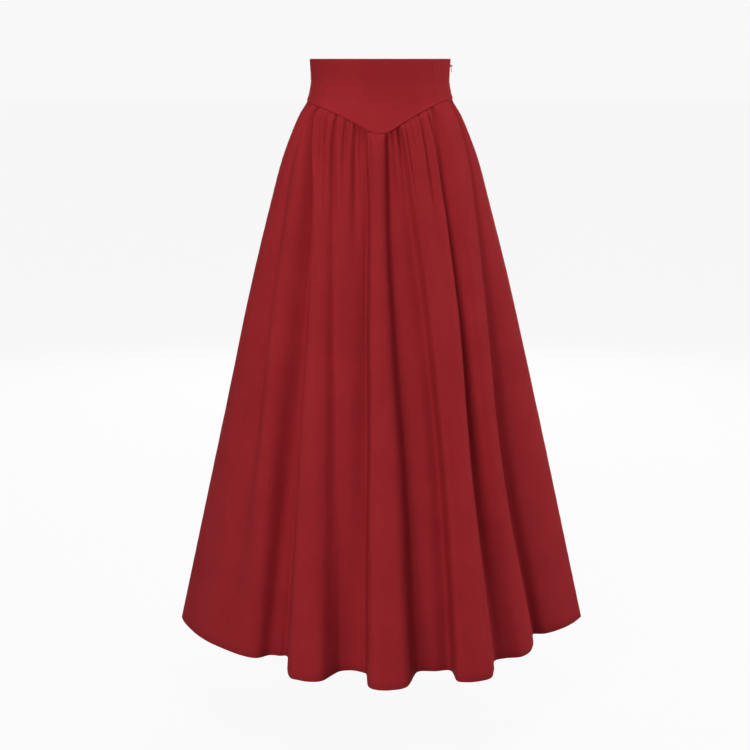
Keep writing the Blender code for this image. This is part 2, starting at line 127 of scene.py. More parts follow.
def round_body(turn, drop, out=0.0):
    """The point at a turn and a drop below the upper edge, moved out level from the body."""
    side, depth = girth(drop, turn)
    angle = np.pi * np.asarray(turn, float)
    away_x = -depth * np.cos(angle)
    away_y = -side * np.sin(angle)
    length = np.hypot(away_x, away_y)
    x = -side * np.cos(angle) + out * away_x / length
    y = -depth * np.sin(angle) + out * away_y / length
    z = np.full_like(x, WAIST_TOP) - drop
    return np.stack([x, y, z], -1)


def waist_seam(turn):
    """Drop of the seam between waistband and skirt: a shallow V in front, nearly level behind."""
    return fair_curve(turn, [p.turn for p in WAIST_SEAM], [p.drop for p in WAIST_SEAM])


def slit_half(drop):
    """Half the parting of the side seam: open at the zip's slider, closed below it."""
    open_half = 0.0009
    closing = 0.00085
    slider_drop = 0.0115
    closes_over = 0.030
    return open_half - closing * eased((np.asarray(drop) - slider_drop) / closes_over)


def outward(grid):
    normal = np.cross(np.gradient(grid, axis=0), np.gradient(grid, axis=1))
    return normal / np.linalg.norm(normal, axis=-1, keepdims=True)


def cloth_mesh(name, grid, grain, wall):
    """A thin cloth from a grid of points, rows down and columns across, with its grain in metres as a map."""
    rows, columns = grid.shape[:2]
    faces = [
        (i * columns + j, (i + 1) * columns + j, (i + 1) * columns + j + 1, i * columns + j + 1)
        for i in range(rows - 1)
        for j in range(columns - 1)
    ]
    mesh = bpy.data.meshes.new(name)
    mesh.from_pydata(grid.reshape(-1, 3).tolist(), [], faces)
    mesh.update()
    corners = np.zeros(len(mesh.loops), np.int32)
    mesh.loops.foreach_get("vertex_index", corners)
    layer = mesh.uv_layers.new(name="grain")
    layer.data.foreach_set("uv", grain.reshape(-1, 2)[corners].astype(np.float32).ravel())
    mesh.shade_smooth()
    cloth = bpy.data.objects.new(name, mesh)
    bpy.context.scene.collection.objects.link(cloth)
    thick = cloth.modifiers.new("cloth thickness", "SOLIDIFY")
    thick.thickness = wall
    thick.offset = 0.0
    thick.use_rim = True
    return cloth


def lengths_along(grid, axis):
    """Distance travelled over the cloth along its rows or columns."""
    steps = np.linalg.norm(np.diff(grid, axis=axis), axis=-1)
    start = np.zeros_like(np.take(steps, [0], axis=axis))
    return np.concatenate([start, np.cumsum(steps, axis=axis)], axis=axis)


def crimson_cloth(name, colour, deep_colour, weave, sheen):
    """A plain-woven red cloth: fine warp and weft, slubs, faint unevenness of dye, painted light on the
    threads' tops and painted shade between them, and a soft low sheen.
    """
    made = bpy.data.materials.new(name)
    made.use_nodes = True
    nodes = made.node_tree.nodes
    link = made.node_tree.links.new
    shader = nodes["Principled BSDF"]
    grain = nodes.new("ShaderNodeUVMap")
    grain.uv_map = "grain"
    threads = []
    for direction in ("X", "Y"):
        thread = nodes.new("ShaderNodeTexWave")
        thread.wave_type = "BANDS"
        thread.bands_direction = direction
        thread.wave_profile = "SIN"
        thread.inputs["Scale"].default_value = weave
        thread.inputs["Distortion"].default_value = 1.2
        thread.inputs["Detail"].default_value = 1.0
        thread.inputs["Detail Scale"].default_value = 0.35
        link(grain.outputs["UV"], thread.inputs["Vector"])
        threads.append(thread)
    over_under = nodes.new("ShaderNodeMath")
    over_under.operation = "MAXIMUM"
    link(threads[0].outputs["Fac"], over_under.inputs[0])
    link(threads[1].outputs["Fac"], over_under.inputs[1])
    place = nodes.new("ShaderNodeTexCoord")
    slubs = nodes.new("ShaderNodeTexNoise")
    slubs.inputs["Scale"].default_value = 900.0
    slubs.inputs["Detail"].default_value = 3.0
    link(place.outputs["Object"], slubs.inputs["Vector"])
    height = nodes.new("ShaderNodeMath")
    height.operation = "MULTIPLY_ADD"
    height.inputs[1].default_value = 0.45
    link(slubs.outputs["Fac"], height.inputs[0])
    link(over_under.outputs[0], height.inputs[2])
    bump = nodes.new("ShaderNodeBump")
    bump.inputs["Strength"].default_value = 0.30
    bump.inputs["Distance"].default_value = 0.00025
    link(height.outputs[0], bump.inputs["Height"])
    link(bump.outputs["Normal"], shader.inputs["Normal"])
    dye = nodes.new("ShaderNodeTexNoise")
    dye.inputs["Scale"].default_value = 14.0
    dye.inputs["Detail"].default_value = 5.0
    dye.inputs["Roughness"].default_value = 0.6
    link(place.outputs["Object"], dye.inputs["Vector"])
    # The red is painted lighter on the threads' tops and darker between them, following the weave's bump:
    # painted highlight and painted shade, mixed with the real uneven dye.
    depth = nodes.new("ShaderNodeMath")
    depth.operation = "MULTIPLY_ADD"
    depth.inputs[1].default_value = 0.30
    link(over_under.outputs[0], depth.inputs[0])
    link(dye.outputs["Fac"], depth.inputs[2])
    shade = nodes.new("ShaderNodeValToRGB")
    shade.color_ramp.elements[0].position = 0.36
    shade.color_ramp.elements[0].color = (*deep_colour, 1.0)
    shade.color_ramp.elements[1].position = 0.88
    shade.color_ramp.elements[1].color = (*colour, 1.0)
    link(depth.outputs[0], shade.inputs["Fac"])
    link(shade.outputs["Color"], shader.inputs["Base Color"])
    polish = nodes.new("ShaderNodeMapRange")
    polish.inputs["To Min"].default_value = 0.66
    polish.inputs["To Max"].default_value = 0.80
    link(slubs.outputs["Fac"], polish.inputs["Value"])
    link(polish.outputs["Result"], shader.inputs["Roughness"])
    shader.inputs["Specular IOR Level"].default_value = 0.02
    shader.inputs["Specular Tint"].default_value = (1.0, 0.45, 0.45, 1.0)
    shader.inputs["Sheen Weight"].default_value = sheen
    shader.inputs["Sheen Roughness"].default_value = 0.45
    shader.inputs["Sheen Tint"].default_value = (1.0, 0.16, 0.18, 1.0)
    return made


def side_front_seam(top, bottom):
    """A seam down the front of the waistband, by its x at the upper edge and at the waist seam."""

    def turn_at(drop):
        drop = np.asarray(drop, float)
        x = top + (bottom - top) * drop / SIDE_DROP
        return np.arccos(-x / girth(drop, 0.5)[0]) / np.pi

    return turn_at


def side_edge(turn, zip_side=0):
    """The panel's edge at a side seam; along the zip it stands back from the slit."""

    def turn_at(drop):
        drop = np.asarray(drop, float)
        gap = slit_half(drop) if zip_side else np.zeros_like(drop)
        return turn + zip_side * gap / (np.pi * girth(drop, 1.0)[1])

    return turn_at


def close_at_edges(count, closeness):
    """Steps from 0 to 1 that crowd towards both ends."""
    even = np.linspace(0, 1, count)
    crowded = 0.5 - 0.5 * np.cos(np.pi * even)
    return (1 - closeness) * even + closeness * crowded


def waistband_panel(name, starts, ends, columns, soft_waves):
    """One waistband panel between two seams, with rolled seam edges and a padded waist seam."""
    rows = 65
    waves_per_metre = 22.0
    pucker_height = 0.00008
    pucker_rate = 780.0
    share, fall = np.meshgrid(close_at_edges(columns + 1, 0.65), close_at_edges(rows, 0.6))
    turn = starts(0.0) + (ends(0.0) - starts(0.0)) * share
    for _ in range(8):
        drop = fall * (waist_seam(turn) - 0.0002)
        turn = starts(drop) + (ends(drop) - starts(drop)) * share
    flat = round_body(turn, drop)
    from_start = lengths_along(flat, 1)
    from_end = from_start[:, -1:] - from_start
    from_top = lengths_along(flat, 0)
    from_seam = from_top[-1:] - from_top
    seam_edge = np.minimum(from_start, from_end)
    rolled_in = -0.0004 * (1 - np.clip(seam_edge / SEAM_ROLL, 0, 1)) ** 2
    rolled_in += 0.0004 * np.exp(-(((seam_edge - 0.0034) / 0.0018) ** 2))
    top_fold = -0.0008 * (1 - np.clip(from_top / 0.0012, 0, 1)) ** 2
    padded_seam = 0.0005 * eased(1 - from_seam / 0.011)
    tucked = -0.0006 * (1 - np.clip(from_seam / 0.0014, 0, 1)) ** 2
    soft = np.zeros_like(drop)
    for row in range(soft.shape[0]):
        for column in range(soft.shape[1]):
            point = Vector(flat[row, column]) * waves_per_metre
            soft[row, column] = noise.noise(point)
    soft = soft_waves * soft * eased(from_top / 0.02)
    pucker = pucker_height * np.sin(from_top * pucker_rate) * np.exp(-((seam_edge / 0.004) ** 2))
    grid = round_body(turn, drop, rolled_in + top_fold + padded_seam + tucked + soft + pucker)
    grain = np.stack([from_start, -from_top], -1)
    panel = cloth_mesh(name, grid, grain, BAND_WALL)
    panel.data.materials.append(band_cloth)
    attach(panel, "skirt")
    return panel


# The waistband's red is the skirt's red painted a little lighter: painted light, for the brighter light the
# band catches.
band_cloth = crimson_cloth(
    "crimson_waistband",
    colour=(0.361, 0.0228, 0.0292),
    deep_colour=(0.309, 0.0186, 0.0240),
    weave=95.0,
    sheen=0.05,
)
right_seam = side_front_seam(-0.0958, -0.1010)
left_seam = side_front_seam(0.0873, 0.0933)

waist_front = waistband_panel("waist_front_cloth", right_seam, left_seam, 150, 0.0006)
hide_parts("waist_front")
waist_right = waistband_panel("waist_side_right_cloth", side_edge(0.0), right_seam, 64, 0.0004)
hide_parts("waist_side_right")
waist_left = waistband_panel("waist_side_left_cloth", left_seam, side_edge(1.0, -1), 70, 0.0004)
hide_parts("waist_side_left")
waist_back = waistband_panel("waist_back_cloth", side_edge(1.0, 1), side_edge(2.0), 190, 0.0006)
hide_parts("waist_back")


# The skirt front: one wide panel of the same cloth, gathered by hand onto the waistband's V seam. Its seam
# allowance is turned up behind the waistband and its hem is turned up inside. The flutes are unequal: three
# deep ones stand out at centre front, with flat valleys between them and smooth panels at the sides.
HEM_DROP = 1.0406
CLOTH_WALL = 0.0006
HEM_TURNED_UP = 0.020
SKIRT_ROWS = 100

# Where each fold line runs: its turn at the seam, hip, knee, calf and hem, and how far it stands out there.
# FALLS are those five heights as shares of the way from seam to hem. Just under the seam a fold stands out
# by UNDER_SEAM of what it does at the hip.
FALLS = (0.0, 0.14, 0.33, 0.62, 1.0)
UNDER_SEAM = 0.8
Fold = namedtuple("Fold", "line seam hip knee calf hem out_hip out_knee out_calf out_hem")
FRONT_FOLDS = [
    Fold("right side", 0.000, 0.000, 0.000, 0.000, 0.000, 0.000, -0.001, -0.002, -0.002),
    Fold("side panel", 0.050, 0.060, 0.070, 0.080, 0.090, -0.001, -0.002, -0.007, -0.017),
    Fold("panel fall", 0.085, 0.115, 0.140, 0.160, 0.165, -0.004, -0.008, -0.015, -0.021),
    Fold("soft trough", 0.115, 0.150, 0.184, 0.211, 0.217, -0.008, -0.014, -0.020, -0.023),
    Fold("side crown", 0.150, 0.205, 0.222, 0.248, 0.270, 0.005, 0.005, -0.003, -0.022),
    Fold("side crown end", 0.172, 0.237, 0.252, 0.275, 0.292, 0.003, 0.001, -0.008, -0.027),
    Fold("valley 1 wall", 0.190, 0.268, 0.288, 0.297, 0.305, -0.012, -0.020, -0.034, -0.047),
    Fold("valley 1", 0.199, 0.280, 0.303, 0.312, 0.323, -0.016, -0.025, -0.040, -0.052),
    Fold("valley 1 end", 0.206, 0.289, 0.315, 0.329, 0.340, -0.011, -0.018, -0.035, -0.0515),
    Fold("flute 1 shoulder", 0.218, 0.299, 0.330, 0.349, 0.369, 0.006, 0.006, 0.008, 0.018),
    Fold("flute 1 crown", 0.245, 0.312, 0.343, 0.362, 0.386, 0.010, 0.012, 0.018, 0.029),
    Fold("flute 1 crown end", 0.280, 0.333, 0.360, 0.382, 0.404, 0.011, 0.013, 0.019, 0.031),
    Fold("flute 1 turn", 0.306, 0.350, 0.376, 0.399, 0.419, 0.006, 0.008, 0.010, 0.023),
    Fold("flute 1 wall", 0.330, 0.366, 0.390, 0.413, 0.430, 0.000, -0.002, -0.006, -0.003),
    Fold("valley 2", 0.360, 0.388, 0.407, 0.426, 0.440, 0.001, -0.002, -0.011, -0.020),
    Fold("valley 2 middle", 0.395, 0.415, 0.429, 0.445, 0.458, -0.004, -0.006, -0.013, -0.0250),
    Fold("valley 2 end", 0.430, 0.447, 0.456, 0.466, 0.476, -0.012, -0.014, -0.017, -0.0170),
    Fold("flute 2 wall", 0.448, 0.463, 0.468, 0.476, 0.480, -0.013, -0.015, -0.014, -0.006),
    Fold("flute 2 shoulder", 0.460, 0.473, 0.477, 0.482, 0.484, 0.004, 0.008, 0.020, 0.036),
    Fold("flute 2 crown", 0.475, 0.485, 0.489, 0.494, 0.496, 0.008, 0.014, 0.028, 0.050),
    Fold("flute 2 crown end", 0.495, 0.501, 0.507, 0.513, 0.515, 0.008, 0.014, 0.029, 0.051),
    Fold("flute 2 turn", 0.510, 0.513, 0.519, 0.529, 0.535, 0.003, 0.007, 0.020, 0.040),
    Fold("flute 2 foot", 0.521, 0.523, 0.530, 0.543, 0.549, -0.008, -0.009, -0.006, -0.001),
    Fold("valley 3", 0.532, 0.534, 0.542, 0.553, 0.560, -0.011, -0.013, -0.016, -0.019),
    Fold("valley 3 middle", 0.550, 0.557, 0.572, 0.585, 0.584, -0.008, -0.011, -0.014, -0.0150),
    Fold("valley 3 end", 0.568, 0.581, 0.600, 0.612, 0.607, -0.011, -0.014, -0.015, -0.0120),
    Fold("flute 3 shoulder", 0.583, 0.596, 0.612, 0.616, 0.606, 0.004, 0.006, 0.014, 0.028),
    Fold("flute 3 crown", 0.607, 0.612, 0.627, 0.629, 0.615, 0.008, 0.011, 0.021, 0.038),
    Fold("flute 3 crown end", 0.640, 0.640, 0.648, 0.645, 0.633, 0.006, 0.010, 0.021, 0.042),
    Fold("flute 3 turn", 0.675, 0.672, 0.675, 0.664, 0.655, 0.007, 0.009, 0.016, 0.037),
    Fold("flute 3 wall", 0.698, 0.690, 0.690, 0.678, 0.670, 0.001, -0.002, -0.004, 0.012),
    Fold("valley 4", 0.722, 0.704, 0.703, 0.692, 0.688, -0.009, -0.014, -0.023, -0.022),
    Fold("left wave", 0.780, 0.745, 0.729, 0.716, 0.712, 0.004, 0.004, -0.005, -0.0235),
    Fold("left wave end", 0.820, 0.778, 0.752, 0.737, 0.738, 0.005, 0.005, 0.000, -0.014),
    Fold("left shoulder", 0.870, 0.815, 0.778, 0.760, 0.765, 0.003, 0.001, -0.008, -0.020),
    Fold("left wall", 0.905, 0.835, 0.795, 0.776, 0.795, -0.006, -0.012, -0.030, -0.038),
    Fold("valley 5", 0.925, 0.855, 0.815, 0.800, 0.845, -0.007, -0.016, -0.042, -0.067),
    Fold("panel foot", 0.945, 0.880, 0.850, 0.840, 0.870, -0.003, -0.008, -0.030, -0.050),
    Fold("left panel", 0.965, 0.920, 0.900, 0.895, 0.911, 0.000, -0.002, -0.014, -0.032),
    Fold("left panel end", 0.982, 0.960, 0.950, 0.945, 0.954, 0.000, 0.000, -0.004, -0.014),
    Fold("left side", 1.000, 1.000, 1.000, 1.000, 1.000, 0.000, 0.001, 0.004, 0.005),
]

# Each gather is a crease that starts under the seam: its turn there, how far down it runs as a share of the
# skirt, its depth in metres, and its half-width and sideways drift in turns.
Gather = namedtuple("Gather", "at run deep half drift")
FRONT_GATHERS = [
    Gather(0.214, 0.08, 0.0028, 0.0060, 0.000),
    Gather(0.236, 0.10, 0.0032, 0.0070, 0.004),
    Gather(0.262, 0.20, 0.0070, 0.0070, 0.000),
    Gather(0.287, 0.24, 0.0085, 0.0075, 0.004),
    Gather(0.305, 0.06, 0.0030, 0.0050, 0.000),
    Gather(0.322, 0.26, 0.0085, 0.0070, 0.000),
    Gather(0.345, 0.08, 0.0040, 0.0055, -0.004),
    Gather(0.368, 0.20, 0.0085, 0.0070, 0.000),
    Gather(0.388, 0.07, 0.0035, 0.0050, 0.000),
    Gather(0.407, 0.28, 0.0090, 0.0070, 0.002),
    Gather(0.424, 0.16, 0.0055, 0.0060, 0.006),
    Gather(0.441, 0.06, 0.0030, 0.0050, 0.000),
    Gather(0.463, 0.24, 0.0070, 0.0075, 0.000),
    Gather(0.486, 0.04, 0.0014, 0.0040, 0.000),
    Gather(0.504, 0.04, 0.0012, 0.0040, 0.000),
    Gather(0.526, 0.20, 0.0040, 0.0060, 0.000),
    Gather(0.544, 0.24, 0.0065, 0.0055, 0.012),
    Gather(0.566, 0.14, 0.0050, 0.0050, 0.010),
    Gather(0.593, 0.24, 0.0075, 0.0065, 0.010),
    Gather(0.612, 0.09, 0.0045, 0.0055, 0.006),
    Gather(0.633, 0.07, 0.0035, 0.0050, 0.004),
    Gather(0.656, 0.34, 0.0075, 0.0075, 0.008),
    Gather(0.677, 0.06, 0.0030, 0.0055, 0.000),
    Gather(0.697, 0.26, 0.0070, 0.0070, 0.008),
    Gather(0.736, 0.07, 0.0036, 0.0070, 0.016),
    Gather(0.765, 0.04, 0.0014, 0.0060, 0.006),
]


def fold_curve(values, index, share):
    """A smooth curve through the fold lines at one height."""
    padded = np.concatenate([[2 * values[0] - values[1]], values, [2 * values[-1] - values[-2]]])
    before, start, end, after = (padded[index + k] for k in range(4))
    return 0.5 * (
        2 * start
        + (end - before) * share
        + (2 * before - 5 * start + 4 * end - after) * share**2
        + (3 * start - before - 3 * end + after) * share**3
    )


def fold_columns(folds, count):
    """Columns shared out between the fold lines by how much cloth lies between them."""
    seam = np.array([f.seam for f in folds])
    hem = np.array([f.hem for f in folds])
    out = np.array([f.out_hem for f in folds])
    cloth = np.hypot(np.abs(np.diff(hem)) * 1.05, np.diff(out)) + 0.9 * np.abs(np.diff(seam))
    shares = np.maximum(3, np.round(count * cloth / cloth.sum()).astype(int))
    index = np.concatenate([np.full(n, k) for k, n in enumerate(shares)] + [[len(shares) - 1]])
    share = np.concatenate([np.arange(n) / n for n in shares] + [[1.0]])
    return index, share


def gathered(turn, fall, below, gathers):
    """How far the gathered cloth swells out or is drawn in, below the seam."""
    swell_out = 0.0052
    swell_run = 0.30
    freed_below = 0.005
    first, last = gathers[0].at, gathers[-1].at
    zone = eased((turn - first + 0.02) / 0.03) * eased((last + 0.03 - turn) / 0.05)
    free = 1 - np.exp(-below / freed_below)
    swell = swell_out * zone * free * np.clip(1 - fall / swell_run, 0, 1) ** 1.6
    drawn = np.zeros_like(turn)
    for g in gathers:
        left = np.clip(1 - fall / g.run, 0, 1)
        reach = g.half * (1 + 1.5 * fall / g.run)
        away = np.abs(turn - g.at - g.drift * fall / g.run) / reach
        drawn += g.deep * np.exp(-(away**1.5)) * (0.45 + 0.55 * free) * eased(left * 1.2)
    return swell - drawn


def skirt_cloth(name, folds, gathers, columns, starts, ends, ripple_seed):
    """One gathered skirt panel, from the allowance behind the waistband to the turned-up hem."""
    freed_below = 0.0045
    tuck_depth = 0.0015
    tuck_below = 0.0018
    slow_ripple = 0.0016
    fine_ripple = 0.0004
    pucker_height = 0.00018
    pucker_rate = 560.0
    index, share = fold_columns(folds, columns)
    at_seam = fold_curve(np.array([f.seam for f in folds]), index, share)
    dense = np.linspace(0, 1, SKIRT_ROWS)
    falls = 0.42 * dense**2.4 + 0.58 * dense**1.25
    outer = []
    for fall in falls:
        turns = [fair_curve(fall, FALLS, f[1:6]) for f in folds]
        outs = [fair_curve(fall, FALLS, (UNDER_SEAM * f.out_hip, *f[6:])) for f in folds]
        turn = fold_curve(np.array(turns), index, share)
        seam = waist_seam(turn)
        drop = seam + (HEM_DROP - seam) * fall
        turn[0] = starts(drop[0])
        turn[-1] = ends(drop[-1])
        free = 1 - np.exp(-(drop - seam) / freed_below)
        stands_out = fold_curve(np.array(outs), index, share) * free
        stands_out += gathered(at_seam, fall, drop - seam, gathers)
        stands_out -= tuck_depth * np.exp(-(drop - seam) / tuck_below)
        outer.append(round_body(turn, drop, stands_out))
    outer = np.array(outer)
    width = lengths_along(outer, 1)
    length = lengths_along(outer, 0)
    edge = np.minimum(width, width[:, -1:] - width)
    limp = np.zeros(outer.shape[:2])
    for row in range(outer.shape[0]):
        for column in range(outer.shape[1]):
            x, y, z = outer[row, column]
            slow = noise.noise(Vector((x * 17 + ripple_seed, y * 17, z * 3.2)))
            fine = noise.noise(Vector((x * 52 + ripple_seed, y * 52, z * 11.0)))
            limp[row, column] = slow_ripple * slow + fine_ripple * fine
    limp *= eased(length / 0.05) * eased(edge / 0.02)
    seam_roll = -0.0008 * (1 - np.clip(edge / 0.0018, 0, 1)) ** 2
    pucker = pucker_height * np.sin(length * pucker_rate) * np.exp(-((edge / 0.005) ** 2))
    normal = outward(outer)
    outer = outer + normal * (limp + seam_roll + pucker)[..., None]
    normal = outward(outer)
    level = normal * np.array([1.0, 1.0, 0.0])
    level /= np.linalg.norm(level, axis=-1, keepdims=True)
    up = np.array([0.0, 0.0, 1.0])
    allowance = [outer[0] - level[0] * 0.0002 + up * rise for rise in (0.0075, 0.0050, 0.0025)]
    fold = 0.0006
    under = [
        outer[-1] - level[-1] * fold * (1 - math.cos(bend)) - up * fold * math.sin(bend)
        for bend in (0.8, 1.57, 2.35, 3.14)
    ]
    slope = outer[-2] - outer[-1]
    slope /= np.linalg.norm(slope, axis=-1, keepdims=True)
    inside = [outer[-1] - level[-1] * 2 * fold + slope * rise for rise in (0.004, 0.010, HEM_TURNED_UP)]
    grid = np.concatenate([allowance, outer, under, inside])
    across = lengths_along(grid, 1)
    middle = across[:, across.shape[1] // 2][:, None]
    grain = np.stack([across - middle, -lengths_along(grid, 0)], -1)
    panel = cloth_mesh(name, grid, grain, CLOTH_WALL)
    panel.data.materials.append(skirt_red)
    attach(panel, "skirt")
    return panel


skirt_red = crimson_cloth(
    "crimson_skirt",
    colour=(0.346, 0.0223, 0.0285),
    deep_colour=(0.294, 0.0181, 0.0234),
    weave=90.0,
    sheen=0.03,
)
skirt_front = skirt_cloth(
    "skirt_front_cloth", FRONT_FOLDS, FRONT_GATHERS, 420, side_edge(0.0), side_edge(1.0, -1), ripple_seed=3.0
)
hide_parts("skirt_front")


# The skirt back: another wide panel, gathered onto the waistband's level back seam and joined to the
# front at both sides. It isn't shown, so it hangs in four soft uneven flutes of its own.
BACK_FOLDS = [
    Fold("left side", 1.000, 1.000, 1.000, 1.000, 1.000, 0.000, 0.001, 0.004, 0.005),
    Fold("left panel", 1.040, 1.046, 1.050, 1.052, 1.055, 0.000, 0.000, 0.000, -0.003),
    Fold("left panel fall", 1.090, 1.104, 1.112, 1.114, 1.112, 0.000, -0.002, -0.010, -0.018),
    Fold("trough 1", 1.150, 1.160, 1.166, 1.168, 1.165, -0.006, -0.012, -0.023, -0.037),
    Fold("trough 1 end", 1.176, 1.184, 1.188, 1.190, 1.188, -0.005, -0.009, -0.017, -0.030),
    Fold("flute 1", 1.222, 1.228, 1.230, 1.232, 1.234, 0.004, 0.007, 0.010, 0.011),
    Fold("flute 1 end", 1.262, 1.264, 1.268, 1.270, 1.273, 0.005, 0.008, 0.013, 0.018),
    Fold("trough 2", 1.306, 1.310, 1.316, 1.322, 1.327, -0.005, -0.011, -0.018, -0.029),
    Fold("trough 2 end", 1.330, 1.332, 1.338, 1.343, 1.348, -0.005, -0.010, -0.017, -0.031),
    Fold("flute 2", 1.372, 1.374, 1.380, 1.386, 1.390, 0.004, 0.008, 0.015, 0.027),
    Fold("flute 2 end", 1.420, 1.422, 1.426, 1.430, 1.434, 0.005, 0.010, 0.018, 0.032),
    Fold("trough 3", 1.466, 1.468, 1.471, 1.473, 1.475, -0.007, -0.012, -0.018, -0.026),
    Fold("trough 3 end", 1.488, 1.490, 1.493, 1.496, 1.499, -0.006, -0.011, -0.017, -0.027),
    Fold("flute 3", 1.528, 1.530, 1.534, 1.537, 1.539, 0.005, 0.009, 0.016, 0.028),
    Fold("flute 3 end", 1.582, 1.582, 1.583, 1.584, 1.585, 0.006, 0.011, 0.020, 0.034),
    Fold("trough 4", 1.628, 1.630, 1.632, 1.630, 1.629, -0.006, -0.010, -0.018, -0.029),
    Fold("trough 4 end", 1.652, 1.652, 1.653, 1.652, 1.651, -0.006, -0.011, -0.019, -0.031),
    Fold("flute 4", 1.700, 1.700, 1.700, 1.699, 1.698, 0.004, 0.007, 0.011, 0.014),
    Fold("flute 4 end", 1.744, 1.742, 1.741, 1.740, 1.738, 0.005, 0.008, 0.013, 0.021),
    Fold("trough 5", 1.794, 1.790, 1.788, 1.788, 1.788, -0.006, -0.011, -0.021, -0.034),
    Fold("trough 5 end", 1.818, 1.813, 1.811, 1.811, 1.812, -0.006, -0.011, -0.022, -0.038),
    Fold("right wave", 1.868, 1.866, 1.866, 1.868, 1.872, 0.001, 0.003, -0.002, -0.012),
    Fold("right panel", 1.935, 1.935, 1.935, 1.936, 1.938, 0.000, -0.001, -0.005, -0.014),
    Fold("right side", 2.000, 2.000, 2.000, 2.000, 2.000, 0.000, -0.001, -0.002, -0.002),
]
BACK_GATHERS = [
    Gather(1.240, 0.12, 0.0032, 0.0080, 0.003),
    Gather(1.258, 0.05, 0.0014, 0.0050, 0.000),
    Gather(1.281, 0.20, 0.0042, 0.0080, 0.002),
    Gather(1.301, 0.06, 0.0018, 0.0055, 0.000),
    Gather(1.318, 0.26, 0.0046, 0.0080, 0.004),
    Gather(1.341, 0.07, 0.0022, 0.0060, 0.000),
    Gather(1.362, 0.16, 0.0042, 0.0075, 0.003),
    Gather(1.384, 0.05, 0.0016, 0.0050, 0.000),
    Gather(1.405, 0.13, 0.0038, 0.0070, 0.003),
    Gather(1.424, 0.06, 0.0022, 0.0055, 0.000),
    Gather(1.441, 0.09, 0.0030, 0.0065, 0.002),
    Gather(1.463, 0.05, 0.0016, 0.0050, 0.000),
    Gather(1.484, 0.27, 0.0048, 0.0080, 0.002),
    Gather(1.505, 0.05, 0.0018, 0.0050, 0.000),
    Gather(1.524, 0.12, 0.0036, 0.0070, -0.002),
    Gather(1.544, 0.06, 0.0020, 0.0055, 0.000),
    Gather(1.561, 0.17, 0.0042, 0.0075, -0.003),
    Gather(1.584, 0.05, 0.0016, 0.0050, 0.000),
    Gather(1.606, 0.10, 0.0034, 0.0070, -0.002),
    Gather(1.626, 0.07, 0.0024, 0.0055, 0.000),
    Gather(1.645, 0.25, 0.0046, 0.0080, -0.003),
    Gather(1.666, 0.05, 0.0018, 0.0050, 0.000),
    Gather(1.684, 0.15, 0.0040, 0.0070, -0.003),
    Gather(1.706, 0.05, 0.0016, 0.0050, 0.000),
    Gather(1.727, 0.11, 0.0032, 0.0075, -0.003),
]
skirt_back = skirt_cloth(
    "skirt_back_cloth", BACK_FOLDS, BACK_GATHERS, 400, side_edge(1.0, 1), side_edge(2.0), ripple_seed=11.0
)
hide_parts("skirt_back")


# The zip tapes: two narrow woven tapes behind the left side seam, each sewn down near the seam's edge,
# with a nylon coil along its inner edge. Above the slider the coils stand apart; below it they mesh.
TAPE_SINK = 0.0019
TAPE_TOP = 0.0020
TAPE_END = 0.2063


def ribbed_red(name, colour, deep_colour, ribs_scale, ribs_height, roughness):
    """The zip's dyed nylon: fine ribs, painted light on their tops and painted shade between them."""
    made = bpy.data.materials.new(name)
    made.use_nodes = True
    nodes = made.node_tree.nodes
    link = made.node_tree.links.new
    shader = nodes["Principled BSDF"]
    grain = nodes.new("ShaderNodeUVMap")
    grain.uv_map = "grain"
    ribs = nodes.new("ShaderNodeTexWave")
    ribs.bands_direction = "DIAGONAL"
    ribs.inputs["Scale"].default_value = ribs_scale
    ribs.inputs["Distortion"].default_value = 0.6
    link(grain.outputs["UV"], ribs.inputs["Vector"])
    # The ribs' tops are painted lighter and the hollows between them darker, following the bump: painted
    # highlight and painted shade.
    shade = nodes.new("ShaderNodeValToRGB")
    shade.color_ramp.elements[0].color = (*deep_colour, 1.0)
    shade.color_ramp.elements[1].color = (*colour, 1.0)
    link(ribs.outputs["Fac"], shade.inputs["Fac"])
    link(shade.outputs["Color"], shader.inputs["Base Color"])
    bump = nodes.new("ShaderNodeBump")
    bump.inputs["Strength"].default_value = 0.5
    bump.inputs["Distance"].default_value = ribs_height
    link(ribs.outputs["Fac"], bump.inputs["Height"])
    link(bump.outputs["Normal"], shader.inputs["Normal"])
    shader.inputs["Roughness"].default_value = roughness
    return made


def zip_tape(name, side):
    """One tape, side -1 in front of the seam and 1 behind it, dented by its row of stitches."""
    stitch = 0.0026
    drops = np.linspace(TAPE_TOP, TAPE_END, 150)
    reach = np.array([0.0009, 0.0011, 0.0030, 0.0050, 0.0070, 0.0090, 0.0110, 0.0114])
    reach = reach if side > 0 else reach[::-1]
    drop, away = np.meshgrid(drops, reach, indexing="ij")
    turn = 1.0 + side * away / (np.pi * girth(drop, 1.0)[1])
    stitched = 0.00025 * np.exp(-(((away - 0.0030) / 0.0006) ** 2)) * np.cos(drop * 2 * np.pi / stitch)
    grid = round_body(turn, drop, -TAPE_SINK + stitched)
    tape = cloth_mesh(name, grid, np.stack([side * away, -drop], -1), 0.0006)
    tape.data.materials.append(tape_red)
    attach(tape, "skirt")
    return tape


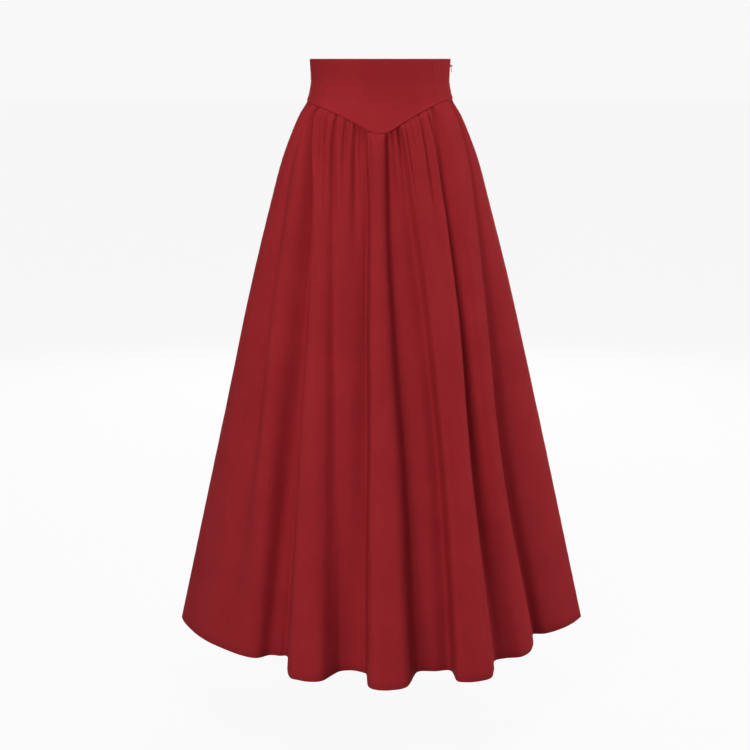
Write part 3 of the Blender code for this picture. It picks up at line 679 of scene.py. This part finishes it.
def tube(name, path, radius, sides, material):
    """A thin closed tube along a path of points."""
    path = np.asarray(path, float)
    tangent = np.gradient(path, axis=0)
    tangent /= np.linalg.norm(tangent, axis=1, keepdims=True)
    first = np.cross(tangent, (0.31, 0.87, 0.37))
    first /= np.linalg.norm(first, axis=1, keepdims=True)
    second = np.cross(tangent, first)
    turn = 2 * np.pi * np.arange(sides) / sides
    rings = path[:, None] + radius * (
        np.cos(turn)[None, :, None] * first[:, None] + np.sin(turn)[None, :, None] * second[:, None]
    )
    count = len(path)
    faces = [
        (i * sides + j, i * sides + (j + 1) % sides, (i + 1) * sides + (j + 1) % sides, (i + 1) * sides + j)
        for i in range(count - 1)
        for j in range(sides)
    ]
    faces.append(tuple(reversed(range(sides))))
    faces.append(tuple((count - 1) * sides + j for j in range(sides)))
    mesh = bpy.data.meshes.new(name)
    mesh.from_pydata(rings.reshape(-1, 3).tolist(), [], faces)
    mesh.update()
    corners = np.zeros(len(mesh.loops), np.int32)
    mesh.loops.foreach_get("vertex_index", corners)
    travelled = np.concatenate([[0.0], np.cumsum(np.linalg.norm(np.diff(path, axis=0), axis=1))])
    grain = np.stack([np.tile(turn * radius, count), np.repeat(travelled, sides)], -1)
    mesh.uv_layers.new(name="grain").data.foreach_set("uv", grain[corners].astype(np.float32).ravel())
    mesh.shade_smooth()
    thread = bpy.data.objects.new(name, mesh)
    bpy.context.scene.collection.objects.link(thread)
    thread.data.materials.append(material)
    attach(thread, "skirt")
    return thread


def zip_coil(name, side):
    """The coil sewn to one tape: parted above the slider, and meshed with the other below it."""
    pitch = 0.0012
    steps = 9
    bare_end = 0.003
    widest_parting = 0.0014
    slider_drop = 0.0125
    closes_over = 0.010
    half_width = 0.0010
    half_height = 0.0006
    thread_radius = 0.00022
    windings = int((TAPE_END - TAPE_TOP - 0.006) / pitch)
    wound = np.arange(windings * steps + 1) / float(steps)
    drop = TAPE_TOP + bare_end + pitch * (wound + (0.5 if side > 0 else 0.0))
    parted = widest_parting * (1 - eased((drop - slider_drop) / closes_over))
    centre = parted + 0.0009
    away = centre + half_width * np.cos(2 * np.pi * wound)
    rise = -TAPE_SINK - 0.0013 + half_height * np.sin(2 * np.pi * wound)
    turn = 1.0 + side * away / (np.pi * girth(drop, 1.0)[1])
    coil = tube(name, round_body(turn, drop, rise), thread_radius, 5, coil_red)
    return coil


tape_red = ribbed_red("zip_tape_weave", (0.250, 0.014, 0.020), (0.150, 0.008, 0.012), 210.0, 0.0002, 0.82)
coil_red = ribbed_red("zip_coil_nylon", (0.240, 0.014, 0.020), (0.160, 0.009, 0.014), 90.0, 0.00004, 0.38)
for half, side in (("front", -1), ("back", 1)):
    tape = zip_tape("zip_tape_" + half + "_weave", side)
    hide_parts("zip_tape_" + half)
    coil = zip_coil("zip_coil_" + half, side)


# The slider and its pull: small die-cast metal pieces, coated to match the cloth. The slider's body runs
# on the coils behind the seam, and the pull hangs from its loop outside.
def coated_metal(name, colour, worn_colour):
    made = bpy.data.materials.new(name)
    made.use_nodes = True
    nodes = made.node_tree.nodes
    link = made.node_tree.links.new
    shader = nodes["Principled BSDF"]
    place = nodes.new("ShaderNodeTexCoord")
    speckle = nodes.new("ShaderNodeTexNoise")
    speckle.inputs["Scale"].default_value = 1400.0
    speckle.inputs["Detail"].default_value = 4.0
    link(place.outputs["Object"], speckle.inputs["Vector"])
    shade = nodes.new("ShaderNodeValToRGB")
    shade.color_ramp.elements[0].position = 0.35
    shade.color_ramp.elements[0].color = (*colour, 1.0)
    shade.color_ramp.elements[1].position = 0.80
    shade.color_ramp.elements[1].color = (*worn_colour, 1.0)
    link(speckle.outputs["Fac"], shade.inputs["Fac"])
    link(shade.outputs["Color"], shader.inputs["Base Color"])
    rough = nodes.new("ShaderNodeMapRange")
    rough.inputs["To Min"].default_value = 0.26
    rough.inputs["To Max"].default_value = 0.46
    link(speckle.outputs["Fac"], rough.inputs["Value"])
    link(rough.outputs["Result"], shader.inputs["Roughness"])
    bump = nodes.new("ShaderNodeBump")
    bump.inputs["Strength"].default_value = 0.10
    bump.inputs["Distance"].default_value = 0.0001
    link(speckle.outputs["Fac"], bump.inputs["Height"])
    link(bump.outputs["Normal"], shader.inputs["Normal"])
    shader.inputs["Metallic"].default_value = 0.65
    return made


zip_metal = coated_metal("coated_zip_metal", (0.230, 0.022, 0.028), (0.330, 0.060, 0.065))
for node in ("zip_slider", "zip_pull"):
    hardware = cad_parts[node]
    hardware.data.materials.clear()
    hardware.data.materials.append(zip_metal)


# The studio: a pale floor below the hem and a pale surround. Softboxes stand low and high in front, above,
# at both sides and behind, the wearer's left side lit more. The camera looks down a little from waist height.
FLOOR_HALF = 40
FLOOR_Z = -1.16
floor_corners = [(x * FLOOR_HALF, y * FLOOR_HALF, FLOOR_Z) for x, y in ((-1, -1), (1, -1), (1, 1), (-1, 1))]
floor_mesh = bpy.data.meshes.new("floor")
floor_mesh.from_pydata(floor_corners, [], [(0, 1, 2, 3)])
floor = bpy.data.objects.new("floor", floor_mesh)
bpy.context.scene.collection.objects.link(floor)
paper = bpy.data.materials.new("studio_paper")
paper.use_nodes = True
paper_shader = paper.node_tree.nodes["Principled BSDF"]
paper_shader.inputs["Base Color"].default_value = (0.04, 0.04, 0.04, 1.0)
paper_shader.inputs["Roughness"].default_value = 1.0
paper_shader.inputs["Specular IOR Level"].default_value = 0.0
paper_shader.inputs["Emission Color"].default_value = (1.0, 1.0, 1.0, 1.0)
paper_shader.inputs["Emission Strength"].default_value = 0.925
floor.data.materials.append(paper)
floor.visible_diffuse = False

surround = bpy.data.worlds.new("pale_surround")
surround.use_nodes = True
surround.node_tree.nodes["Background"].inputs["Color"].default_value = (0.94, 0.94, 0.94, 1.0)
surround.node_tree.nodes["Background"].inputs["Strength"].default_value = 1.0
surround.cycles_visibility.diffuse = False
surround.cycles_visibility.glossy = False
bpy.context.scene.world = surround

Softbox = namedtuple("Softbox", "name place wide watts")
mid_skirt = Vector((0.0, 0.0, -0.45))
for box in (
    Softbox("front_left_softbox", (-1.31, -2.80, 0.38), 1.4, 52),
    Softbox("low_right_softbox", (1.99, -2.37, -1.28), 1.4, 38),
    Softbox("low_left_softbox", (-1.99, -2.37, -1.28), 1.4, 22),
    Softbox("top_softbox", (0.00, -0.56, 2.70), 1.4, 47),
    Softbox("right_softbox", (3.04, 0.54, 0.38), 1.4, 62),
    Softbox("left_softbox", (-3.04, 0.54, 0.38), 1.4, 12),
    Softbox("back_left_softbox", (-0.50, 3.05, 0.38), 1.8, 42),
    Softbox("back_right_softbox", (0.50, 3.05, 0.38), 1.8, 42),
):
    lamp = bpy.data.lights.new(box.name, "AREA")
    lamp.size = box.wide
    lamp.energy = box.watts
    stand = bpy.data.objects.new(box.name, lamp)
    stand.location = box.place
    stand.rotation_euler = (mid_skirt - Vector(box.place)).to_track_quat("-Z", "Y").to_euler()
    bpy.context.scene.collection.objects.link(stand)

CAMERA_TILT = 12.782
camera_data = bpy.data.cameras.new("camera")
camera_data.sensor_width = 36.0
camera_data.lens = 66.86
camera = bpy.data.objects.new("camera", camera_data)
camera.location = (-0.009, -2.5, WAIST_TOP)
camera.rotation_euler = (math.radians(90 - CAMERA_TILT), 0.0, 0.0)
bpy.context.scene.collection.objects.link(camera)
bpy.context.scene.camera = camera
bpy.context.scene.view_settings.view_transform = "Standard"
